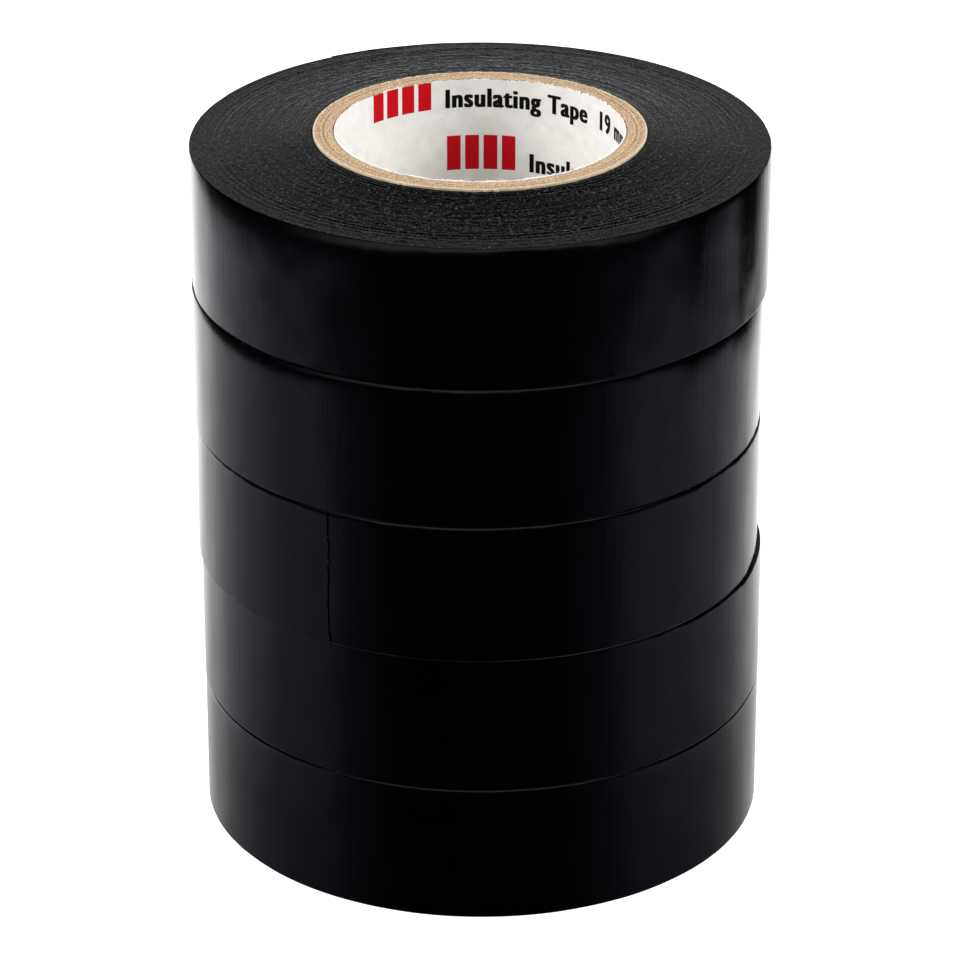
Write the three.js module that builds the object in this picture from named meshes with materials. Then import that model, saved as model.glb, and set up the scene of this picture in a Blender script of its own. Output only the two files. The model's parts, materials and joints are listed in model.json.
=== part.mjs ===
// Five rolls of vinyl electrical tape, stacked on one another. Millimetres, +Z up.
// The origin is on the surface that the stack stands on, at the middle of its footprint.
// Each roll is a wound strip of tape on a paperboard core of two plies, lined with printed paper.

import * as THREE from "three";

// Tape
const TAPE_WIDTH = 19;
const TAPE_THICKNESS = 0.15;
const ROLL_PITCH = TAPE_WIDTH; // rims rest on one another

// Core, from the bore outwards
const BORE_RADIUS = 18.9;
const LINER_THICKNESS = 0.25;
const PLY_GAP = 0.06; // glue line between paper layers
const INNER_PLY_THICKNESS = 1.2;
const CORE_RADIUS = 21.8;
const CORE_LENGTH = 18.8;
const CORE_TOP = 20.5; // above the roll's own lower rim: the tape's tension pushes the core up a little
const LINER_LENGTH = 18.9;
const LINER_TOP = CORE_TOP + 0.15; // its edge stands a little above the paperboard

// Winding: each end face is flat near the rim, and climbs towards the core
const WINDING_INNER_RADIUS = 21.9;
const TOP_FLAT_FROM = 33.5;
const TOP_RISE = 1.2;
const BOTTOM_FLAT_FROM = 35;
const BOTTOM_RISE = 1.65;

// Free end of the tape
const TAIL_ARC = 24; // degrees of the outer turn that peel
const TAIL_ROOT_GAP = 0.3; // degrees between the free end's root and the rest of the outer turn
const TAIL_AIR = 0.05; // under the free end
const TAIL_INSET = 0.05; // from each rim

const FACETS = 60;
const FACET_ANGLE = 360 / FACETS;

// From the bottom roll to the top one: outer radius, place of the axis, and the bearing of the torn end
const ROLLS = [
  { radius: 37.9, x: 0.2, y: 0.1, tornEnd: 64 },
  { radius: 38.0, x: 0.2, y: 0.3, tornEnd: 155 },
  { radius: 37.8, x: -0.2, y: -0.5, tornEnd: -120.7 },
  { radius: 37.8, x: -0.4, y: -0.4, tornEnd: 50 },
  { radius: 38.1, x: 0, y: 0, tornEnd: 122 },
];

const vinyl = new THREE.MeshStandardMaterial({ color: 0x111216, roughness: 0.3, metalness: 0 });
const kraft = new THREE.MeshStandardMaterial({ color: 0xcdb08c, roughness: 0.9, metalness: 0 });
const darkKraft = new THREE.MeshStandardMaterial({ color: 0xbf9f78, roughness: 0.9, metalness: 0 });
const whitePaper = new THREE.MeshStandardMaterial({ color: 0xe4e1da, roughness: 0.7, metalness: 0 });

// Outer radius of the spiral, `angle` degrees clockwise from the torn end. One turn climbs by one thickness.
function spiralRadius(rollRadius, angle) {
  return rollRadius - (TAPE_THICKNESS * angle) / 360;
}

// A ring about Z between two radii, with its upper end at `top`.
function paperTube(innerRadius, outerRadius, top, length) {
  const bottom = top - length;
  const section = [
    new THREE.Vector2(innerRadius, bottom),
    new THREE.Vector2(outerRadius, bottom),
    new THREE.Vector2(outerRadius, top),
    new THREE.Vector2(innerRadius, top),
    new THREE.Vector2(innerRadius, bottom),
  ];
  return new THREE.LatheGeometry(section, FACETS).rotateX(Math.PI / 2);
}

// Joins a row of closed sections into one solid, clockwise about Z when seen from above. A section is a list of
// [radius, height] pairs that runs anticlockwise with the radius to the right and the height up. The ends are
// capped unless the row goes all the way round.
function sweepSections(columns, closed) {
  const size = columns[0].section.length;
  const positions = [];
  for (const { angle, section } of columns) {
    const bearing = -THREE.MathUtils.degToRad(angle);
    for (const [radius, height] of section) {
      positions.push(radius * Math.cos(bearing), radius * Math.sin(bearing), height);
    }
  }
  const indices = [];
  const spans = closed ? columns.length : columns.length - 1;
  for (let column = 0; column < spans; column++) {
    const here = column * size;
    const next = ((column + 1) % columns.length) * size;
    for (let point = 0; point < size; point++) {
      const after = (point + 1) % size;
      indices.push(here + point, next + after, next + point);
      indices.push(here + point, here + after, next + after);
    }
  }
  if (!closed) {
    const last = (columns.length - 1) * size;
    for (let point = 1; point < size - 1; point++) {
      indices.push(0, point + 1, point);
      indices.push(last, last + point, last + point + 1);
    }
  }
  const geometry = new THREE.BufferGeometry();
  geometry.setAttribute("position", new THREE.Float32BufferAttribute(positions, 3));
  geometry.setIndex(indices);
  const flat = geometry.toNonIndexed();
  flat.computeVertexNormals();
  return flat;
}

// The wound tape, dished at both ends, with a shallow seat for the free end.
function windingGeometry(rollRadius) {
  const section = (outerRadius) => [
    [WINDING_INNER_RADIUS, BOTTOM_RISE],
    [BOTTOM_FLAT_FROM, 0],
    [outerRadius, 0],
    [outerRadius, TAPE_WIDTH],
    [TOP_FLAT_FROM, TAPE_WIDTH],
    [WINDING_INNER_RADIUS, TAPE_WIDTH + TOP_RISE],
  ];
  const columns = [];
  for (let facet = 0; facet < FACETS; facet++) {
    const angle = facet * FACET_ANGLE;
    const full = spiralRadius(rollRadius, angle);
    const seat = full - TAPE_THICKNESS - TAIL_AIR;
    columns.push({ angle, section: section(angle > TAIL_ARC ? full : seat) });
    if (angle === TAIL_ARC) {
      columns.push({ angle: angle + TAIL_ROOT_GAP, section: section(full) });
    }
  }
  return sweepSections(columns, true);
}

// The free end: one thickness of tape, from the torn edge to the line where it peels.
function tailGeometry(rollRadius) {
  const columns = [];
  for (let angle = 0; angle <= TAIL_ARC; angle += FACET_ANGLE) {
    const outer = spiralRadius(rollRadius, angle);
    const inner = outer - TAPE_THICKNESS;
    const section = [
      [inner, TAIL_INSET],
      [outer, TAIL_INSET],
      [outer, TAPE_WIDTH - TAIL_INSET],
      [inner, TAPE_WIDTH - TAIL_INSET],
    ];
    columns.push({ angle, section });
  }
  return sweepSections(columns, false);
}

function rollGroup({ radius, x, y, tornEnd }, number) {
  const group = new THREE.Group();
  const add = (name, geometry, material) => {
    const mesh = new THREE.Mesh(geometry, material);
    mesh.name = `roll_${number}_${name}`;
    group.add(mesh);
  };
  const linerRadius = BORE_RADIUS + LINER_THICKNESS;
  const plyInner = linerRadius + PLY_GAP;
  const plyJoint = plyInner + INNER_PLY_THICKNESS;
  add("liner", paperTube(BORE_RADIUS, linerRadius, LINER_TOP, LINER_LENGTH), whitePaper);
  add("core_inner_ply", paperTube(plyInner, plyJoint, CORE_TOP, CORE_LENGTH), kraft);
  add("core_outer_ply", paperTube(plyJoint + PLY_GAP, CORE_RADIUS, CORE_TOP, CORE_LENGTH), darkKraft);
  add("winding", windingGeometry(radius), vinyl);
  add("tail", tailGeometry(radius), vinyl);
  group.position.set(x, y, (number - 1) * ROLL_PITCH);
  group.rotation.z = THREE.MathUtils.degToRad(tornEnd);
  return group;
}

const stack = new THREE.Group();
ROLLS.forEach((roll, index) => stack.add(rollGroup(roll, index + 1)));

export default stack;
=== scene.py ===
"""The looks of a stack of five rolls of vinyl electrical tape.

Every roll is built by the same functions from its own CAD nodes: the wound tape with an edge for each of its
turns, the free end of the tape, the two plies of the paperboard core, and the printed paper that lines it.
Lengths are in millimetres in each roll's own frame: X and Y from the roll's axis, Z up from its lower rim.
"""

import json
import math

import bpy
import numpy as np
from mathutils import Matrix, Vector


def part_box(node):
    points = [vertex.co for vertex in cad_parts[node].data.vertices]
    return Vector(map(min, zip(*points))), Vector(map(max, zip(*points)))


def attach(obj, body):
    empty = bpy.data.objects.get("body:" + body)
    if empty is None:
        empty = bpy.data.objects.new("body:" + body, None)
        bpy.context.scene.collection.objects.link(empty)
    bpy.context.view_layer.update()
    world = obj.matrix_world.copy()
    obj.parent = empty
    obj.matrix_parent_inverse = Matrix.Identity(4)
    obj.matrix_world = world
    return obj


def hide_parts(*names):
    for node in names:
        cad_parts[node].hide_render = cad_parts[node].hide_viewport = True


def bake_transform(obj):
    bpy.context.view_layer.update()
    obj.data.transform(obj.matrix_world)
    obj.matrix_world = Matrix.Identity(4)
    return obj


MM = 0.001

# Tape
TAPE_WIDTH = 19.0
TAPE_THICKNESS = 0.15
TAIL_ARC = 24.0  # degrees, from the torn edge to the peel joint
TAIL_ROOT_ARC = 3.0  # degrees of the free end's strip that stay on the roll, behind the joint
SEAM_ARC = TAIL_ARC + TAIL_ROOT_ARC  # where the free end's strip joins the wound tape
TURNS = 105

# End faces of the winding
TOP_FLAT_FROM = 37.0
TOP_RISE = 1.3
TOP_DISH_POWER = 1.4
BOTTOM_FLAT_FROM = 35.0
BOTTOM_RISE = 1.68
BOTTOM_DISH_POWER = 1.0
EDGE_WAVES = 8  # independent waves round the turns, spread from the core to the rim
EDGE_ROUGHNESS = 0.035
EDGE_SUNK = 0.12  # the most that a turn's edge stays behind the face
EDGE_PROUD = 0.02  # and the most that it stands out

# Step in the outer turn, behind the free end
SEAM_STEP = 0.008  # degrees
SEAT_AIR = 0.02

# Rims and side of the winding
RIM_ROUND = 0.08
RIM_MARGIN = 0.1  # from the rounding of the rim to the outermost ring, at least
CLOSEST_TURNS = 0.02  # a ring is at least this far in from the rim for each turn that lies over it
SETTLED_TURNS = 6  # next to the rim, which lie more evenly than the rest
RIM_RELIEF = 0.055  # how far the wound edges stay inside the plane of the rim
SIDE_LEVELS = (0.12, 0.35, 0.7, 1.2, 2.0, 3.2)  # of the side's rows of points next to a rim
MIDDLE_LEVELS = 7  # rows between those of the two rims
MIDDLE_FROM = 4.5
SWELL = 0.02
SKIN_INSET = 0.015  # of the side from the roll's radius, which leaves room for the swell
EVEN_LEAN = 0.01  # of the upper edge all the way round, besides the shoulders below
CRISP_LEAN = 0.05
CRISP_DEPTH = 0.22
WEAR = 0.01
WEAR_DEPTH = 0.5

# Where the tape's upper edge leans in: for each roll, the bearing, the spread in degrees and the depth in mm
SOFT_SHOULDERS = {
    1: ((-60, 40, 0.03), (120, 60, 0.1)),
    2: ((-150, 30, 0.04), (20, 60, 0.1)),
    3: ((-100, 25, 0.03), (90, 50, 0.12)),
    4: ((-143, 22, 0.17), (-33, 16, 0.15), (80, 50, 0.1)),
    5: ((-134, 27, 0.26), (-60, 10, 0.12), (60, 60, 0.12)),
}
SHOULDER_DEPTH = 0.9

# Free end
TEAR_NICKS = 0.12  # degrees
TEAR_WAVES = 0.1  # degrees
TORN_LIFT = 0.04  # of the torn edge off the turn below
TORN_LIFT_ARC = 0.8  # degrees
UNDERSIDE = 0.93  # of the tape's thickness

# Core
CORE_GAP = 0.12  # between the paperboard and the first turn's edge
WRAP_FROM = 21.62  # the radius where the outer ply's paler wrap begins
NO_WRAP = 30.0  # beyond the core, for the ply that has none
PLY_AIR = 0.03  # between two layers of paper
PLY_INSET = 0.006  # of a ply's wall from its own radius
CUT_INSET = 0.03  # of a ply's cut end from the end of the core
CUT_CORNER = 0.1  # from each end, where a ply's straight wall starts
CUT_CROWN = 0.035  # how far the cut falls off towards the ply's two walls
CUT_FUZZ = 0.02
CUT_TILT = 0.015

# Lining
LINER_THICKNESS = 0.25
TORN_THICKNESS = 0.06  # at its edges
LINER_LOW_INSET = 0.05  # of its torn edges from the ends of the CAD lining
LINER_HIGH_INSET = 0.2
LINER_LOW_WAVES = 0.03
RAGGED = 0.05
RAGGED_WAVES = 0.04
FRAYED = 0.09  # more ragged, where the upper edge is frayed
FRAYED_RISE = 0.16
FRAY_BEARING = 38  # degrees
FRAY_SPREAD = 22  # degrees
TORN_LIMITS = (-0.12, 0.4)
FIBRES = 150
FIBRE_STEPS = 4

# Print on the lining
WORDS = "Insulating Tape  19 mm x 20 m"
CAP_HEIGHT = 2.6
CAP_SHARE = 0.7  # of a letter's size that a capital takes
LETTER_STRETCH = 0.8
LETTER_SPACING = 1.14
BOLD = [(right, up) for right in np.linspace(0, 0.34, 5) for up in (0, 0.1)]  # offsets of the extra strikes
MARK_WIDTH = 9.3
MARK_HEIGHT = 4.9
MARK_BARS = 4
BAR_STEPS = 4  # a bar follows the bore in this many flat strips
BAR_GAP = 0.62
WORD_GAP = 2.0  # from the mark to the words
FIRST_ROW_DROP = 4.15  # from the lining's upper edge to the first whole row's baseline
FIRST_ROW_BEARING = 138.5
ROW_PITCH = 8.9
ROW_SHIFT = 11.5  # along the lining, from one row of print to the next
INK_LIFT = 0.02
INK_MARGIN = 0.25  # unprinted, along both edges of the lining

COLUMNS = 360  # points round the winding, and half as many as round paper
SHARP_ANGLE = 62  # degrees: edges that turn by more aren't shaded smooth
SEED = 100  # roll N draws its noise with SEED + N

# Studio
FLOOR_HALF = 3.0  # metres
KEY_PLACE = (0.72, -0.14, 0.55)  # metres, and its mirror image on the left
KEY_TARGET = (0, 0, 0.09)
KEY_SIZE = 0.35
KEY_POWER = 6.8
ROOM_POWER = 20 / 3  # of the room that gloss sees
EVEN_POWER = 0.58  # of the even white that all else sees
CAMERA_DISTANCE = 617.7
CAMERA_ELEVATION = 24.93  # degrees
CAMERA_LOOKS_AT = 45.99  # height above the floor
CAMERA_LENS = 171.7

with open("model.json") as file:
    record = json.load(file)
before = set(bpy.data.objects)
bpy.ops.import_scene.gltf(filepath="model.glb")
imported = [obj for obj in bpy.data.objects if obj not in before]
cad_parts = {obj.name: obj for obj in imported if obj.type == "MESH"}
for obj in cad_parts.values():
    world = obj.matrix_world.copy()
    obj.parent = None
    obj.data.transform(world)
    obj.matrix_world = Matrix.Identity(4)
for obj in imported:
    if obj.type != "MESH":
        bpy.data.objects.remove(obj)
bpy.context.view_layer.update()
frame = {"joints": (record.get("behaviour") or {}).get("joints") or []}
joints = {joint["name"]: joint for joint in frame["joints"]}


# ---------------------------------------------------------------- the rolls, as the frame places them


def ripple(rng, lowest, highest, fade):
    """Smooth noise round a circle, about 1 in size, as a function of an angle in degrees.

    Its waves go from `lowest` to `highest` times round, and the short ones are weaker by the power `fade`.
    """
    waves = np.arange(lowest, highest + 1)
    size = rng.normal(size=len(waves)) / waves**fade
    size /= np.sqrt((size**2).sum() / 2)
    phase = rng.uniform(0, 2 * np.pi, len(waves))

    def height_at(angle):
        turn = np.radians(np.asarray(angle, float))[..., None]
        return (np.cos(turn * waves + phase) * size).sum(-1)

    return height_at


def half_circle(angle):
    """The same direction, from -180 to 180 degrees."""
    return (angle + 180) % 360 - 180


class Roll:
    """Where one roll is, and the sizes of its own nodes."""

    def __init__(self, number):
        self.number = number
        self.body = f"roll_{number}"
        self.tail_body = f"{self.body}_free_end"
        low, high = self.corners("liner")
        self.axis = (low[:2] + high[:2]) / 2
        self.base = self.corners("winding")[0][2]
        self.liner_outer = self.half_width("liner")
        self.liner_bottom, self.liner_top = low[2] - self.base, high[2] - self.base
        self.inner_ply_outer = self.half_width("core_inner_ply")
        self.core_outer = self.half_width("core_outer_ply")
        low, high = self.corners("core_outer_ply")
        self.core_bottom, self.core_top = low[2] - self.base, high[2] - self.base
        hinge = np.array(joints[f"{self.body}_peel"]["pos_m"]) / MM
        offset = hinge[:2] - self.axis
        self.radius = float(np.hypot(*offset)) + TAPE_THICKNESS * TAIL_ARC / 360
        self.torn_bearing = math.degrees(math.atan2(offset[1], offset[0])) + TAIL_ARC
        self.noise = np.random.default_rng(SEED + number)
        self.swell = [ripple(self.noise, 3, 26, 0.8) for _ in range(3)]
        self.rim_wear = ripple(self.noise, 20, 90, 0.4)

    def node(self, part):
        return f"roll_{self.number}_{part}"

    def corners(self, part):
        """The lowest and the highest corner of a node's box, in the whole frame but in millimetres."""
        return [np.array(corner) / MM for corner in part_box(self.node(part))]

    def half_width(self, part):
        low, high = self.corners(part)
        return (high[0] - low[0]) / 2

    def spiral(self, angle):
        """Outer radius of the last turn, clockwise from the torn edge. A turn climbs by one thickness."""
        return self.radius - TAPE_THICKNESS * angle / 360

    def skin(self, angle, height):
        """Radius and height of the outermost surface: a soft swell, shoulders that lean in, and worn rims."""
        level = height / TAPE_WIDTH
        low, middle, high = (wave(angle) for wave in self.swell)
        swell = (1 - level) ** 2 * low + 2 * level * (1 - level) * middle + level**2 * high
        from_top = TAPE_WIDTH - height
        lean = EVEN_LEAN
        for bearing, spread, depth in SOFT_SHOULDERS[self.number]:
            off = half_circle(self.torn_bearing - angle - bearing)
            lean = lean + depth * np.exp(-((off / spread) ** 2))
        shoulder = lean * np.exp(-from_top / SHOULDER_DEPTH) + CRISP_LEAN * np.exp(-from_top / CRISP_DEPTH)
        wear = WEAR * self.rim_wear(angle) * np.exp(-np.minimum(height, from_top) / WEAR_DEPTH)
        radius = self.spiral(angle) + SWELL * swell - SKIN_INSET - shoulder + wear
        return radius, height + wear / 2


# ---------------------------------------------------------------- mesh helpers


def polar(angle, radius, height):
    """Points in the roll's frame from an angle clockwise from the torn edge, a radius and a height."""
    turn = -np.radians(angle)
    return np.stack(np.broadcast_arrays(radius * np.cos(turn), radius * np.sin(turn), height), -1)


def new_piece(name, roll, points, faces, face_materials, materials, smooth=True):
    """A mesh piece. points are in the roll's frame, turned so that angle 0 is its torn edge.

    The attribute roll_co keeps where each point is from the roll's axis and lower rim. The materials use it,
    because it stays put when the piece moves.
    """
    turn = math.radians(roll.torn_bearing)
    spin = np.array([[math.cos(turn), math.sin(turn)], [-math.sin(turn), math.cos(turn)]])
    placed = np.array(points, float)
    placed[:, :2] = placed[:, :2] @ spin + roll.axis
    placed[:, 2] += roll.base
    mesh = bpy.data.meshes.new(name)
    mesh.from_pydata((placed * MM).tolist(), [], faces)
    for material in materials:
        mesh.materials.append(material)
    mesh.polygons.foreach_set("material_index", np.broadcast_to(face_materials, len(faces)).astype(np.int32))
    mesh.polygons.foreach_set("use_smooth", np.full(len(faces), smooth))
    local = placed - np.append(roll.axis, roll.base)
    attribute = mesh.attributes.new("roll_co", "FLOAT_VECTOR", "POINT")
    attribute.data.foreach_set("vector", local.astype(np.float32).ravel())
    mesh.update()
    mesh.set_sharp_from_angle(angle=math.radians(SHARP_ANGLE))
    piece = bpy.data.objects.new(name, mesh)
    bpy.context.scene.collection.objects.link(piece)
    return piece


def grid_faces(columns, rows, all_round):
    """Faces of columns of points that each go round a closed section. Clockwise columns face outwards."""
    column = np.arange(columns if all_round else columns - 1)
    here, down = np.meshgrid(column, np.arange(rows), indexing="ij")
    beside = (here + 1) % columns
    below = (down + 1) % rows
    corners = [here * rows + down, here * rows + below, beside * rows + below, beside * rows + down]
    return np.stack(corners, -1).reshape(-1, 4).tolist()


# ---------------------------------------------------------------- material helpers


class Nodes:
    """Short calls for building the node tree of a material or a world."""

    def __init__(self, owner):
        self.owner = owner
        owner.use_nodes = True
        self.tree = owner.node_tree
        self.shader = self.tree.nodes.get("Principled BSDF")

    def add(self, kind, **settings):
        node = self.tree.nodes.new(kind)
        for key, value in settings.items():
            setattr(node, key, value)
        return node

    def plug(self, value, socket):
        if isinstance(value, bpy.types.NodeSocket):
            self.tree.links.new(value, socket)
        else:
            socket.default_value = value

    def math(self, operation, a, b=0.0):
        node = self.add("ShaderNodeMath", operation=operation)
        self.plug(a, node.inputs[0])
        self.plug(b, node.inputs[1])
        return node.outputs[0]

    def times(self, a, b):
        return self.math("MULTIPLY", a, b)

    def share(self, a, b, part):
        """Value a, with this part of it given to value b."""
        return self.math("ADD", self.times(a, 1 - part), self.times(b, part))

    def length(self, x, y):
        return self.math("SQRT", self.math("ADD", self.times(x, x), self.times(y, y)))

    def place(self):
        """The point in the roll's frame, in millimetres."""
        return self.add("ShaderNodeAttribute", attribute_name="roll_co").outputs["Vector"]

    def scaled(self, vector, scale):
        node = self.add("ShaderNodeVectorMath", operation="MULTIPLY")
        self.plug(vector, node.inputs[0])
        node.inputs[1].default_value = scale
        return node.outputs[0]

    def split(self, vector):
        return self.add_linked("ShaderNodeSeparateXYZ", vector).outputs

    def add_linked(self, kind, *values):
        node = self.add(kind)
        for value, socket in zip(values, node.inputs):
            self.plug(value, socket)
        return node

    def combine(self, x, y, z):
        return self.add_linked("ShaderNodeCombineXYZ", x, y, z).outputs[0]

    def radius(self, vector):
        x, y, _ = self.split(vector)
        return self.length(x, y)

    def noise(self, vector, scale, detail=2.0, roughness=0.5):
        node = self.add("ShaderNodeTexNoise")
        self.plug(vector, node.inputs["Vector"])
        node.inputs["Scale"].default_value = scale
        node.inputs["Detail"].default_value = detail
        node.inputs["Roughness"].default_value = roughness
        return node.outputs["Fac"]

    def ramp(self, value, *stops):
        """A colour ramp through (position, grey or colour) stops."""
        node = self.add("ShaderNodeValToRGB")
        self.plug(value, node.inputs["Fac"])
        elements = node.color_ramp.elements
        while len(elements) < len(stops):
            elements.new(1.0)  # moved to its own place below
        for element, (position, colour) in zip(elements, stops):
            element.position = position
            rgb = (colour,) * 3 if isinstance(colour, (int, float)) else colour
            element.color = (*rgb, 1.0)
        return node.outputs["Color"]

    def range(self, value, low, high, to_low, to_high):
        node = self.add("ShaderNodeMapRange")
        self.plug(value, node.inputs["Value"])
        for socket, number in zip(("From Min", "From Max", "To Min", "To Max"), (low, high, to_low, to_high)):
            node.inputs[socket].default_value = number
        return node.outputs["Result"]

    def mix(self, part, a, b):
        """Colour a, with this part of it turned to colour b."""
        node = self.add("ShaderNodeMix", data_type="RGBA")
        for value, socket in ((part, 0), (a, 6), (b, 7)):
            self.plug(value, node.inputs[socket])
        return node.outputs[2]

    def bump(self, height, distance, normal=None):
        """A bump from a height of 0 to 1 that stands for `distance` millimetres."""
        node = self.add("ShaderNodeBump")
        self.plug(height, node.inputs["Height"])
        node.inputs["Distance"].default_value = distance * MM
        node.inputs["Strength"].default_value = 1.0
        if normal is not None:
            self.plug(normal, node.inputs["Normal"])
        return node.outputs["Normal"]

    def finish(self, **sockets):
        for name, value in sockets.items():
            self.plug(value, self.shader.inputs[name.replace("_", " ")])
        return self.owner


def new_material(name):
    return Nodes(bpy.data.materials.new(name))


# ---------------------------------------------------------------- materials


def make_vinyl_backing():
    """Glossy calendered backing: fine creases across the tape, over a faint orange peel."""
    n = new_material("vinyl_backing")
    place = n.place()
    creases = n.noise(n.scaled(place, (1.0, 1.0, 0.03)), 2.6, 2.0, 0.5)
    waves = n.noise(n.scaled(place, (1.0, 1.0, 0.7)), 0.17, 0.5)
    cloud = n.noise(place, 0.16, 3.0)
    normal = n.bump(creases, 0.016, normal=n.bump(waves, 0.09))
    n.shader.inputs["IOR"].default_value = 1.5
    return n.finish(
        Base_Color=n.ramp(cloud, (0.3, (0.0001, 0.0001, 0.00015)), (0.7, (0.0003, 0.0003, 0.0004))),
        Roughness=n.range(n.noise(place, 0.9, 4.0), 0.3, 0.7, 0.09, 0.13),
        Normal=normal,
    )


def make_vinyl_edge():
    """The slit edges of the turns: ringed at the pitch of the turns, with the grain that the knife leaves."""
    n = new_material("vinyl_slit_edges")
    place = n.place()
    radius = n.radius(place)
    rings = n.noise(n.combine(radius, 0.0, 0.0), 7.0, 2.0, 0.6)
    grain = n.noise(place, 2.9, 2.0, 0.7)
    patches = n.noise(n.scaled(place, (1.0, 1.0, 0.2)), 0.32, 3.0)
    height = n.share(rings, grain, 0.75)
    tone = n.share(height, patches, 0.05)
    n.shader.inputs["IOR"].default_value = 1.36
    return n.finish(
        Base_Color=n.ramp(tone, (0.56, (0.0002, 0.0002, 0.0003)), (0.66, (0.06, 0.062, 0.069))),
        Roughness=n.range(grain, 0.38, 0.62, 0.2, 0.09),
        Normal=n.bump(height, 0.09),
    )


def make_adhesive():
    """The sticky side of the tape: black, smooth and a little mottled."""
    n = new_material("black_adhesive")
    place = n.place()
    mottle = n.noise(place, 2.2, 4.0, 0.6)
    return n.finish(
        Base_Color=n.ramp(mottle, (0.35, (0.006, 0.006, 0.006)), (0.7, (0.02, 0.02, 0.021))),
        Roughness=n.range(mottle, 0.3, 0.7, 0.16, 0.34),
        Normal=n.bump(mottle, 0.012),
    )


def make_kraft(name, dark, light, wrap_from):
    """Kraft paperboard, cut across: short fibres, layers and specks, in a paler wrap beyond a radius."""
    n = new_material(name)
    place = n.place()
    radius = n.radius(place)
    layers = n.noise(n.combine(radius, n.times(n.split(place)[2], 0.3), 0.0), 3.5, 2.0, 0.6)
    fibres = n.noise(n.scaled(place, (1.0, 1.0, 2.5)), 3.4, 5.0, 0.7)
    tone = n.share(layers, fibres, 0.65)
    paper = n.ramp(tone, (0.4, dark), (0.6, light))
    specks = n.ramp(n.noise(place, 4.5, 1.0), (0.6, 0.0), (0.68, 1.0))
    spotted = n.mix(n.times(specks, 0.6), paper, (0.2, 0.1, 0.045, 1))
    pale = n.ramp(fibres, (0.3, (0.56, 0.45, 0.32)), (0.7, (0.74, 0.62, 0.47)))
    wrap = n.range(n.math("ADD", radius, n.times(fibres, 0.12)), wrap_from, wrap_from + 0.06, 0, 1)
    return n.finish(
        Base_Color=n.mix(wrap, spotted, pale),
        Roughness=n.range(fibres, 0.3, 0.7, 0.82, 0.95),
        Normal=n.bump(n.math("ADD", fibres, n.times(layers, 0.5)), 0.17),
    )


def make_lining_paper():
    """White paper: faint cloudy fibres and a little dust."""
    n = new_material("white_lining_paper")
    place = n.place()
    cloud = n.noise(place, 0.5, 4.0, 0.6)
    fibres = n.noise(n.scaled(place, (1.0, 1.0, 1.8)), 5.0, 4.0, 0.7)
    tone = n.share(cloud, fibres, 0.4)
    return n.finish(
        Base_Color=n.ramp(tone, (0.35, (0.72, 0.705, 0.675)), (0.62, (0.84, 0.825, 0.8))),
        Roughness=n.range(fibres, 0.3, 0.7, 0.6, 0.75),
        Normal=n.bump(fibres, 0.02),
    )


def make_ink(name, thin, full):
    """Printing ink: even, with the slight thinning that the paper's grain gives."""
    n = new_material(name)
    place = n.place()
    grain = n.noise(place, 6.0, 3.0, 0.7)
    n.shader.inputs["IOR"].default_value = 1.2
    return n.finish(
        Base_Color=n.ramp(grain, (0.3, full), (0.75, thin)),
        Roughness=n.range(grain, 0.3, 0.7, 0.5, 0.7),
        Normal=n.bump(grain, 0.01),
    )


VINYL = make_vinyl_backing()
EDGES = make_vinyl_edge()
ADHESIVE = make_adhesive()
OUTER_KRAFT = make_kraft("kraft_outer_ply", (0.25, 0.15, 0.075), (0.76, 0.56, 0.365), WRAP_FROM)
INNER_KRAFT = make_kraft("kraft_inner_ply", (0.28, 0.175, 0.095), (0.79, 0.6, 0.41), NO_WRAP)
PAPER = make_lining_paper()
BLACK_INK = make_ink("black_ink", (0.009, 0.009, 0.009), (0.002, 0.002, 0.002))
RED_INK = make_ink("red_ink", (0.58, 0.004, 0.012), (0.44, 0.001, 0.005))


# ---------------------------------------------------------------- the winding


def dish(radius, flat_from, inner, rise, power):
    """Height of an end face over the plane of its rim: flat near the rim, then climbing to the core."""
    return rise * np.clip((flat_from - radius) / (flat_from - inner), 0, 1) ** power


def turn_edges(roll, angle, settle):
    """How far each turn's edge stands out of an even face, in millimetres, one row of values to each turn.

    It adds up a drift from turn to turn, each turn's own offset, slow waves round the turns, and fine nicks.
    """
    rng = roll.noise
    drift = np.cumsum(rng.normal(size=TURNS))
    drift -= np.linspace(drift[0], drift[-1], TURNS)
    drift /= max(1.0, np.abs(drift).max())
    single = rng.normal(size=TURNS).clip(-1.8, 1.8)
    rounds = np.stack([ripple(rng, 1, 9, 0.6)(angle) for _ in range(EDGE_WAVES)])
    knots = np.linspace(0, EDGE_WAVES - 1, TURNS)
    lower = knots.astype(int).clip(0, EDGE_WAVES - 2)
    part = (knots - lower)[:, None]
    slow = rounds[lower] * (1 - part) + rounds[lower + 1] * part
    fine = rng.normal(size=(TURNS, len(angle)))
    step = np.argmin(np.diff(angle)) + 1
    fine[:, step] = fine[:, step - 1]  # even across the step behind the free end
    rough = 0.7 * drift[:, None] + 0.5 * single[:, None] + 0.35 * slow + 0.4 * fine
    return (EDGE_ROUGHNESS * rough * settle).clip(-EDGE_SUNK, EDGE_PROUD)


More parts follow.
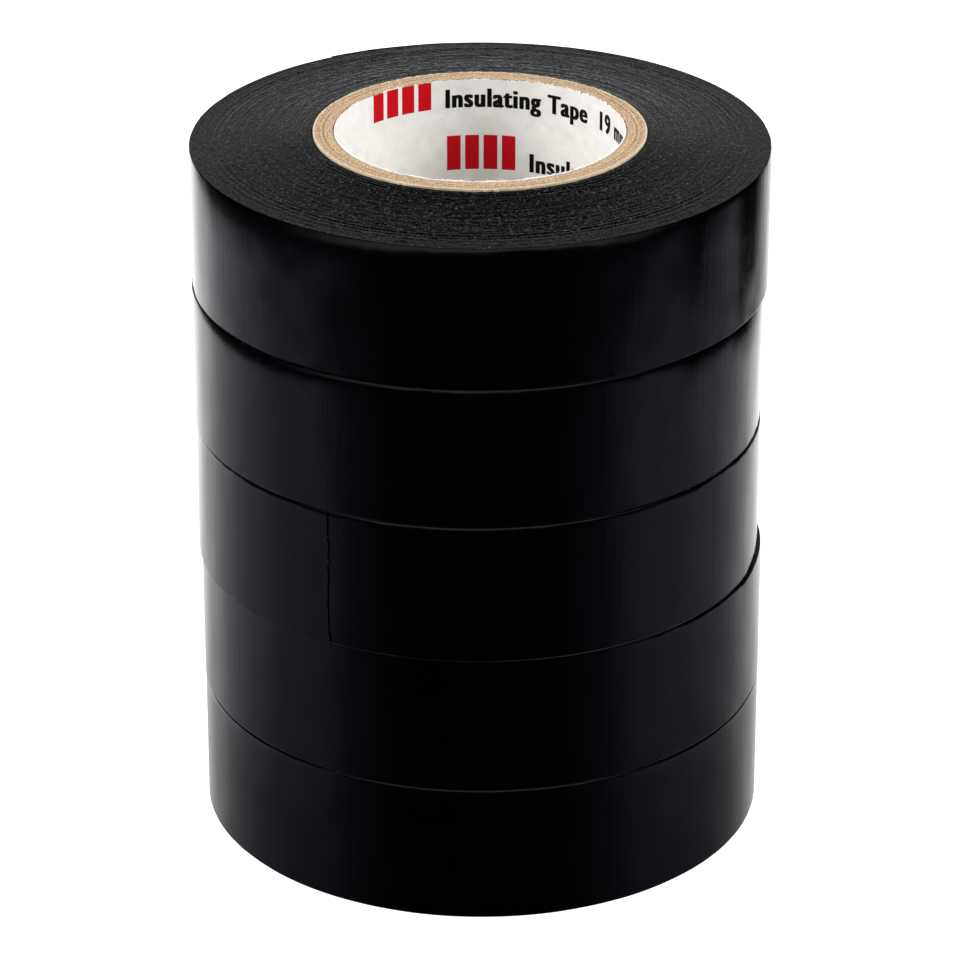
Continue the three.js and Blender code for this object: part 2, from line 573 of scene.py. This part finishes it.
def wound_rings(roll, angle, sunk, inner):
    """Radius of each turn's edge, and its height on the bottom and on the top face, a row for each turn."""
    radii = inner + (roll.radius - inner) / TURNS * (np.arange(TURNS) + 0.5)
    from_rim = (TURNS - np.arange(TURNS))[:, None]
    rim = roll.spiral(angle) - sunk - RIM_ROUND - RIM_MARGIN
    radius = np.minimum(radii[:, None], rim[None, :] - from_rim * CLOSEST_TURNS)
    settle = np.clip(from_rim / SETTLED_TURNS, 0.15, 1)
    top = TAPE_WIDTH - RIM_RELIEF + dish(radius, TOP_FLAT_FROM, inner, TOP_RISE, TOP_DISH_POWER)
    top += turn_edges(roll, angle, settle)
    bottom = RIM_RELIEF + dish(radius, BOTTOM_FLAT_FROM, inner, BOTTOM_RISE, BOTTOM_DISH_POWER)
    bottom -= turn_edges(roll, angle, settle)
    return radius, bottom, top


def wound_side(roll, angle, sunk):
    """Radius and height of the side, from the lower rim to the upper one, with both rims rounded."""
    corner = np.radians([10, 35, 60, 90])
    foot = [(RIM_RELIEF + RIM_ROUND * (1 - math.cos(a)), -RIM_ROUND * (1 - math.sin(a))) for a in corner]
    near = np.array(SIDE_LEVELS)
    middle = np.linspace(MIDDLE_FROM, TAPE_WIDTH - MIDDLE_FROM, MIDDLE_LEVELS)
    climb = np.concatenate([near, middle, TAPE_WIDTH - near[::-1]])
    straight = 1 - 2 * (RIM_RELIEF + RIM_ROUND) / TAPE_WIDTH
    section = foot + [(RIM_RELIEF + RIM_ROUND + z * straight, 0.0) for z in climb]
    section += [(TAPE_WIDTH - z, inset) for z, inset in reversed(foot)]
    levels, insets = (np.array(column)[:, None] for column in zip(*section))
    radius, height = roll.skin(angle[None, :], levels)
    return radius - sunk + insets, height


def build_winding(roll):
    """The wound tape. Each end face has a ring of its own for every turn, and the side is not quite even."""
    even = np.linspace(0, 360, COLUMNS, endpoint=False)
    angle = np.sort(np.append(even, SEAM_ARC + SEAM_STEP))
    sunk = np.where(angle <= SEAM_ARC, TAPE_THICKNESS + SEAT_AIR, 0)
    ring_radius, bottom, top = wound_rings(roll, angle, sunk, roll.core_outer + CORE_GAP)
    side_radius, side_height = wound_side(roll, angle, sunk)

    radius = np.concatenate([ring_radius, side_radius, ring_radius[::-1]])
    height = np.concatenate([bottom, side_height, top[::-1]])
    points = polar(angle[None, :], radius, height).transpose(1, 0, 2)
    rows = points.shape[1]
    row = np.tile(np.arange(rows), len(angle))
    is_side = (row >= TURNS) & (row < TURNS + len(side_radius) - 1)
    faces = grid_faces(len(angle), rows, True)
    piece = new_piece(roll.node("wound_tape"), roll, points.reshape(-1, 3), faces,
                      np.where(is_side, 0, 1), [VINYL, EDGES])
    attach(piece, roll.body)
    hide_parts(roll.node("winding"))


def build_tail(roll):
    """The free end: one thickness of tape, torn across, that lies along the outer turn with its torn edge
    lifted a little.
    """
    columns, rows = 64, 72
    along = np.linspace(0, 1, columns)[:, None] ** 1.35  # closer together at the torn edge
    level = np.linspace(0, 1, rows)
    height = RIM_RELIEF + level[None, :] * (TAPE_WIDTH - 2 * RIM_RELIEF)
    tear = roll.noise.normal(size=rows) * TEAR_NICKS
    tear += ripple(roll.noise, 1, 14, 0.5)(level * 180) * TEAR_WAVES
    angle = SEAM_ARC * along + (1 - along) ** 8 * tear
    outer, height = roll.skin(angle, height)
    outer = outer + TORN_LIFT * np.exp(-angle / TORN_LIFT_ARC)
    skin = polar(angle, outer, height)
    under = polar(angle, outer - TAPE_THICKNESS * UNDERSIDE, height)
    section = np.concatenate([skin, under[:, ::-1]], 1)
    faces = grid_faces(columns, 2 * rows, False)
    place = np.tile(np.arange(2 * rows), columns - 1)
    looks = np.select([place < rows - 1, (place >= rows) & (place < 2 * rows - 1)], [0, 1], 2)
    ends = []
    for column, flip in ((0, False), (columns - 1, True)):
        start = column * 2 * rows
        for row in range(rows - 1):
            opposite = 2 * rows - 1 - row
            quad = [start + row, start + opposite, start + opposite - 1, start + row + 1]
            ends.append(quad[::-1] if flip else quad)
    piece = new_piece(roll.node("free_end"), roll, section.reshape(-1, 3), faces + ends,
                      np.append(looks, np.full(len(ends), 2)), [VINYL, ADHESIVE, EDGES])
    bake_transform(piece)
    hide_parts(roll.node("tail"))


# ---------------------------------------------------------------- the core


def build_ply(roll, name, inner, outer, material):
    """One ply of the paperboard tube: even along its length, with a fuzzy, uneven cut at both ends."""
    angle = np.linspace(0, 360, 2 * COLUMNS, endpoint=False)
    even = np.ones_like(angle)
    rng = roll.noise
    low, high = roll.core_bottom, roll.core_top
    tilt = ripple(rng, 2, 12, 0.5)(angle)
    top = []
    for part in np.linspace(0, 1, 9):
        crown = -CUT_CROWN * abs(2 * part - 1) ** 4
        rough = CUT_FUZZ * ripple(rng, 12, 150, 0.25)(angle) + CUT_TILT * tilt
        sway = CUT_FUZZ * ripple(rng, 8, 120, 0.3)(angle)
        top.append((inner + part * (outer - inner) + sway, high - CUT_INSET + crown + rough))
    bottom = [(radius, low + high - height) for radius, height in top]
    levels = np.linspace(low + CUT_CORNER, high - CUT_CORNER, 7)
    outside = [((outer - PLY_INSET) * even, level * even) for level in levels]
    inside = [((inner + PLY_INSET) * even, level * even) for level in levels]
    loop = bottom + outside + top[::-1] + inside[::-1]
    radius, height = (np.stack(values, 1) for values in zip(*loop))
    radius = radius.clip(inner, outer)
    height = height.clip(low, high)
    points = polar(angle[:, None], radius, height)
    piece = new_piece(roll.node(name), roll, points.reshape(-1, 3),
                      grid_faces(len(angle), len(loop), True), 0, [material])
    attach(piece, roll.body)
    return piece


def build_core(roll):
    joint = roll.inner_ply_outer
    inner = build_ply(roll, "inner_paperboard", roll.liner_outer + PLY_AIR, joint, INNER_KRAFT)
    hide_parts(roll.node("core_inner_ply"))
    outer = build_ply(roll, "outer_paperboard", joint + PLY_AIR, roll.core_outer, OUTER_KRAFT)
    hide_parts(roll.node("core_outer_ply"))


# ---------------------------------------------------------------- the lining and its print


def lining_radius(roll):
    return roll.liner_outer - LINER_THICKNESS


def build_lining(roll):
    """The paper that lines the core. The knife tears its edges, and loose fibres stand on the upper one."""
    angle = np.linspace(0, 360, 2 * COLUMNS, endpoint=False)
    rng = roll.noise
    bore = lining_radius(roll)
    off = half_circle(roll.torn_bearing - angle - FRAY_BEARING)
    frayed = np.exp(-((off / FRAY_SPREAD) ** 2))
    torn = (RAGGED + FRAYED * frayed) * ripple(rng, 30, 340, 0.2)(angle)
    torn += RAGGED_WAVES * ripple(rng, 3, 30, 0.4)(angle) + FRAYED_RISE * frayed
    low = roll.liner_bottom + LINER_LOW_INSET + LINER_LOW_WAVES * ripple(rng, 20, 200, 0.2)(angle)
    high = roll.liner_top - LINER_HIGH_INSET + torn.clip(*TORN_LIMITS)
    level = np.array([0, 0.004, 0.02, 0.25, 0.5, 0.75, 0.98, 0.996, 1])
    height = low[:, None] + level * (high - low)[:, None]
    thickness = TORN_THICKNESS + (LINER_THICKNESS - TORN_THICKNESS) * np.sin(np.pi * level) ** 0.12
    back = polar(angle[:, None], np.minimum(bore + thickness, roll.liner_outer), height)
    front = polar(angle[:, None], bore, height)
    points = np.concatenate([back, front[:, ::-1]], 1)
    rows = points.shape[1]
    points = points.reshape(-1, 3)
    fibre_points, fibre_faces = paper_fibres(roll, bore, len(points))
    piece = new_piece(roll.node("paper_lining"), roll, np.concatenate([points, fibre_points]),
                      grid_faces(len(angle), rows, True) + fibre_faces, 0, [PAPER])
    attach(piece, roll.body)
    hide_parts(roll.node("liner"))


def paper_fibres(roll, bore, first):
    """Tiny curled paper fibres along the upper edge, three-sided and pointed, leaning into the bore.

    Returns their points, and their faces for a mesh in which their first point has the number `first`.
    """
    rng = roll.noise
    points, faces = [], []
    root = np.array([bore + 0.06, 0.0, roll.liner_top - 0.12])
    for _ in range(FIBRES):
        turn = math.radians(rng.uniform(0, 360))
        length = rng.uniform(0.25, 0.9)
        thick = rng.uniform(0.018, 0.04)
        lean = rng.uniform(-0.9, 0.9)
        curl = rng.uniform(-0.8, 0.8)
        base = first + len(points)
        for step in range(FIBRE_STEPS + 1):
            part = step / FIBRE_STEPS
            swing = lean + curl * part
            centre = root + length * part * np.array([-0.35 * part, math.sin(swing), 0.3 * math.cos(swing)])
            size = thick * (1 - 0.85 * part)
            for side in range(3):
                spin = 2 * math.pi * side / 3
                x, y, z = centre + size * np.array([math.cos(spin), 0.0, math.sin(spin)])
                points.append([x * math.cos(turn) - y * math.sin(turn),
                               x * math.sin(turn) + y * math.cos(turn), z])
        for step in range(FIBRE_STEPS):
            for side in range(3):
                here = base + 3 * step + side
                beside = base + 3 * step + (side + 1) % 3
                faces.append([here, here + 3, beside + 3, beside])
        tip = base + 3 * FIBRE_STEPS
        faces += [[base, base + 1, base + 2], [tip + 2, tip + 1, tip]]
    return np.array(points), faces


def flat_words():
    """The words as flat points in millimetres, starting at X 0 on their baseline, and their faces."""
    curve = bpy.data.curves.new("words", "FONT")
    curve.body = WORDS
    curve.size = CAP_HEIGHT / CAP_SHARE
    curve.space_character = LETTER_SPACING
    text = bpy.data.objects.new("words", curve)
    mesh = bpy.data.meshes.new_from_object(text)
    points = np.array([vertex.co[:] for vertex in mesh.vertices])
    faces = [list(polygon.vertices) for polygon in mesh.polygons]
    bpy.data.objects.remove(text)
    bpy.data.curves.remove(curve)
    bpy.data.meshes.remove(mesh)
    points[:, 0] = (points[:, 0] - points[:, 0].min()) * LETTER_STRETCH
    return points[:, :2], faces


def flat_mark():
    """A plain mark: upright bars that fill the space for it."""
    width = (MARK_WIDTH - BAR_GAP * (MARK_BARS - 1)) / MARK_BARS
    points, faces = [], []
    for bar in range(MARK_BARS):
        left = bar * (width + BAR_GAP)
        for step in range(BAR_STEPS + 1):
            x = left + width * step / BAR_STEPS
            base = len(points)
            points += [(x, 0.0), (x, MARK_HEIGHT)]
            if step:
                faces.append([base - 2, base, base + 1, base - 1])
    return np.array(points), faces


def wrap_on_bore(roll, flat, bearing, height):
    """Puts flat points on the bore, reading left to right when seen from inside. bearing is where X is 0."""
    radius = lining_radius(roll) - INK_LIFT
    turn = math.radians(bearing - roll.torn_bearing) - flat[:, 0] / radius
    return np.stack([radius * np.cos(turn), radius * np.sin(turn), height + flat[:, 1]], 1)


def build_print(roll):
    """Rows of the mark and of generic words, stepped along from row to row, as printed paper is."""
    step = 360 / (2 * math.pi * lining_radius(roll))  # degrees in a millimetre along the lining
    words, word_faces = flat_words()
    mark, mark_faces = flat_mark()
    strikes = [(words, word_faces, 0, MARK_WIDTH + WORD_GAP + right, up) for right, up in BOLD]
    points, faces, inks = [], [], []
    count = 0
    cut_high = roll.liner_top - INK_MARGIN
    cut_low = roll.liner_bottom + INK_MARGIN
    for row in range(-1, 3):
        base = roll.liner_top - FIRST_ROW_DROP - row * ROW_PITCH
        start = FIRST_ROW_BEARING - ROW_SHIFT * row * step
        for flat, flat_faces, ink, along, rise in [(mark, mark_faces, 1, 0.0, 0.0), *strikes]:
            placed = wrap_on_bore(roll, flat, start - along * step, base + rise)
            if placed[:, 2].min() > cut_high or placed[:, 2].max() < cut_low:
                continue
            placed[:, 2] = placed[:, 2].clip(cut_low, cut_high)
            points.append(placed)
            faces += [[corner + count for corner in face[::-1]] for face in flat_faces]
            inks += [ink] * len(flat_faces)
            count += len(placed)
    piece = new_piece(roll.node("lining_print"), roll, np.concatenate(points), faces,
                      np.array(inks), [BLACK_INK, RED_INK], smooth=False)
    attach(piece, roll.body)


# ---------------------------------------------------------------- studio


def make_floor():
    corners = [(FLOOR_HALF * x, FLOOR_HALF * y, 0) for x, y in ((-1, -1), (1, -1), (1, 1), (-1, 1))]
    mesh = bpy.data.meshes.new("floor")
    mesh.from_pydata(corners, [], [(0, 1, 2, 3)])
    n = new_material("pale_floor")
    n.shader.inputs["Emission Strength"].default_value = 0.68
    n.shader.inputs["Emission Color"].default_value = (1, 1, 1, 1)
    mesh.materials.append(n.finish(Base_Color=(0.8, 0.8, 0.8, 1), Roughness=0.9))
    floor = bpy.data.objects.new("floor", mesh)
    bpy.context.scene.collection.objects.link(floor)
    floor.visible_glossy = False


def room_tint(n, to_wall):
    """Colour of the room's light: black on the camera's side, then bluish, and white at the wall."""
    return n.ramp(to_wall, (0.075, 0.0), (0.19, (0.02, 0.023, 0.033)), (0.31, (0.07, 0.077, 0.105)),
                  (0.49, (0.092, 0.1, 0.135)), (0.57, (0.12, 0.13, 0.165)), (0.69, (0.17, 0.177, 0.205)),
                  (0.81, (0.3, 0.302, 0.325)), (0.87, 0.45), (0.91, 0.6), (0.97, 0.82), (1.0, 0.85))


def table_and_wall(n, to_wall, height):
    """Brightness of the table, up to its dark far side, and of the wall behind it, from down to up."""
    far_side = n.math("ADD", height, n.range(to_wall, 0, 1, 0.02, 0))  # lower towards the camera
    table = n.ramp(far_side, (0.1, 0.7), (0.2, 0.45), (0.245, 0.14), (0.261, 0.14), (0.273, 0.25),
                   (0.286, 0.32), (0.297, 0.32), (0.304, 0.42), (0.317, 0.44), (0.322, 0.24), (0.326, 0.13),
                   (0.331, 0.03), (0.4, 0.01))
    wall = n.ramp(height, (0.24, 0.1), (0.268, 0.13), (0.281, 0.2), (0.297, 0.3), (0.304, 0.32), (0.33, 0.32),
                  (0.46, 0.3), (0.54, 0.036), (0.62, 0.055), (0.655, 0.095), (0.668, 0.118), (0.681, 0.03),
                  (0.692, 0.001))
    mix = n.add("ShaderNodeMix")
    for value, socket in ((n.range(to_wall, 0.84, 0.95, 0, 1), 0), (table, 2), (wall, 3)):
        n.plug(value, mix.inputs[socket])
    return mix.outputs[0]


def right_side_shade(n, x, to_wall, height):
    """The right side is dimmer, with the dark sides of a doorway in its upper part."""
    dim = n.ramp(to_wall, (0.45, 0.0), (0.68, 0.3), (0.85, 0.25), (0.95, 0.0))
    doorway = n.ramp(to_wall, (0.44, 0.0), (0.52, 1.0), (0.57, 1.0), (0.62, 0.6), (0.72, 0.4), (0.76, 0.6),
                     (0.79, 1.0), (0.88, 1.0), (0.94, 0.6), (1.0, 0.2))
    upper = n.ramp(height, (0.3, 0.0), (0.308, 1.0), (0.36, 1.0), (0.42, 0.0))
    shade = n.math("MAXIMUM", dim, n.times(doorway, upper))
    return n.times(n.range(x, 0, 0.05, 0, 1), shade)


def other_sides_light(n, to_wall, height):
    """Light for views from other sides: the room in front, above the table, and a soft light overhead."""
    front = n.ramp(to_wall, (0.0, 1.0), (0.15, 0.8), (0.3, 0.3), (0.45, 0.0))
    room = n.ramp(height, (0.345, 0.0), (0.38, 0.5), (0.5, 0.5), (0.6, 0.18), (0.75, 0.06), (0.85, 0.0))
    overhead = n.ramp(height, (0.9, 0.0), (0.96, 0.5))
    return n.math("MAXIMUM", n.times(front, room), overhead)


def make_world():
    """A white table in a dark room, with a wall behind. Gloss sees them, and all else sees even white."""
    world = bpy.data.worlds.new("studio")
    bpy.context.scene.world = world
    world.cycles.sampling_method = "NONE"
    n = Nodes(world)
    n.tree.nodes.clear()
    # Each direction as two numbers from 0 to 1: from the camera's side round to the wall, and from down to up
    x, y, z = n.split(n.add("ShaderNodeTexCoord").outputs["Generated"])
    to_wall = n.range(n.math("DIVIDE", y, n.math("MAXIMUM", n.length(x, y), 0.001)), -1, 1, 0, 1)
    height = n.range(z, -1, 1, 0, 1)
    lit = n.range(right_side_shade(n, x, to_wall, height), 0, 1, ROOM_POWER, 0)
    light = n.times(table_and_wall(n, to_wall, height), lit)

    def background(colour, strength):
        return n.add_linked("ShaderNodeBackground", colour, strength).outputs[0]

    def choose(ray_kind, otherwise, shader):
        return n.add_linked("ShaderNodeMixShader", ray[ray_kind], otherwise, shader).outputs[0]

    white = (1, 1, 1, 1)
    main_view = background(room_tint(n, to_wall), light)
    other_views = background(white, other_sides_light(n, to_wall, height))
    gloss = n.add_linked("ShaderNodeAddShader", main_view, other_views).outputs[0]
    ray = n.add("ShaderNodeLightPath").outputs
    lighting = choose("Is Glossy Ray", background(white, EVEN_POWER), gloss)
    n.add_linked("ShaderNodeOutputWorld", choose("Is Camera Ray", lighting, background(white, 1.0)))


def add_key(name, side):
    """A soft key light: side is -1 for the left and 1 for the right."""
    light = bpy.data.lights.new(name, "AREA")
    light.size = KEY_SIZE
    light.energy = KEY_POWER
    lamp = bpy.data.objects.new(name, light)
    x, y, z = KEY_PLACE
    lamp.location = (side * x, y, z)
    lamp.visible_glossy = False
    lamp.rotation_mode = "QUATERNION"
    lamp.rotation_quaternion = (Vector(KEY_TARGET) - lamp.location).to_track_quat("-Z", "Y")
    bpy.context.scene.collection.objects.link(lamp)


def make_camera():
    """The camera looks down at the middle of the stack from about 25 degrees, through a long lens."""
    rise = math.radians(CAMERA_ELEVATION)
    back = CAMERA_DISTANCE * math.cos(rise)
    up = CAMERA_LOOKS_AT + CAMERA_DISTANCE * math.sin(rise)
    data = bpy.data.cameras.new("camera")
    data.lens = CAMERA_LENS
    data.clip_start = 0.01
    camera = bpy.data.objects.new("camera", data)
    camera.location = (0, -back * MM, up * MM)
    camera.rotation_euler = (math.pi / 2 - rise, 0, 0)
    bpy.context.scene.collection.objects.link(camera)
    bpy.context.scene.camera = camera


for number in range(1, 6):
    roll = Roll(number)
    build_winding(roll)
    build_tail(roll)
    build_core(roll)
    build_lining(roll)
    build_print(roll)

make_floor()
make_world()
add_key("left_key", -1)
add_key("right_key", 1)
make_camera()
bpy.context.scene.view_settings.view_transform = "Standard"
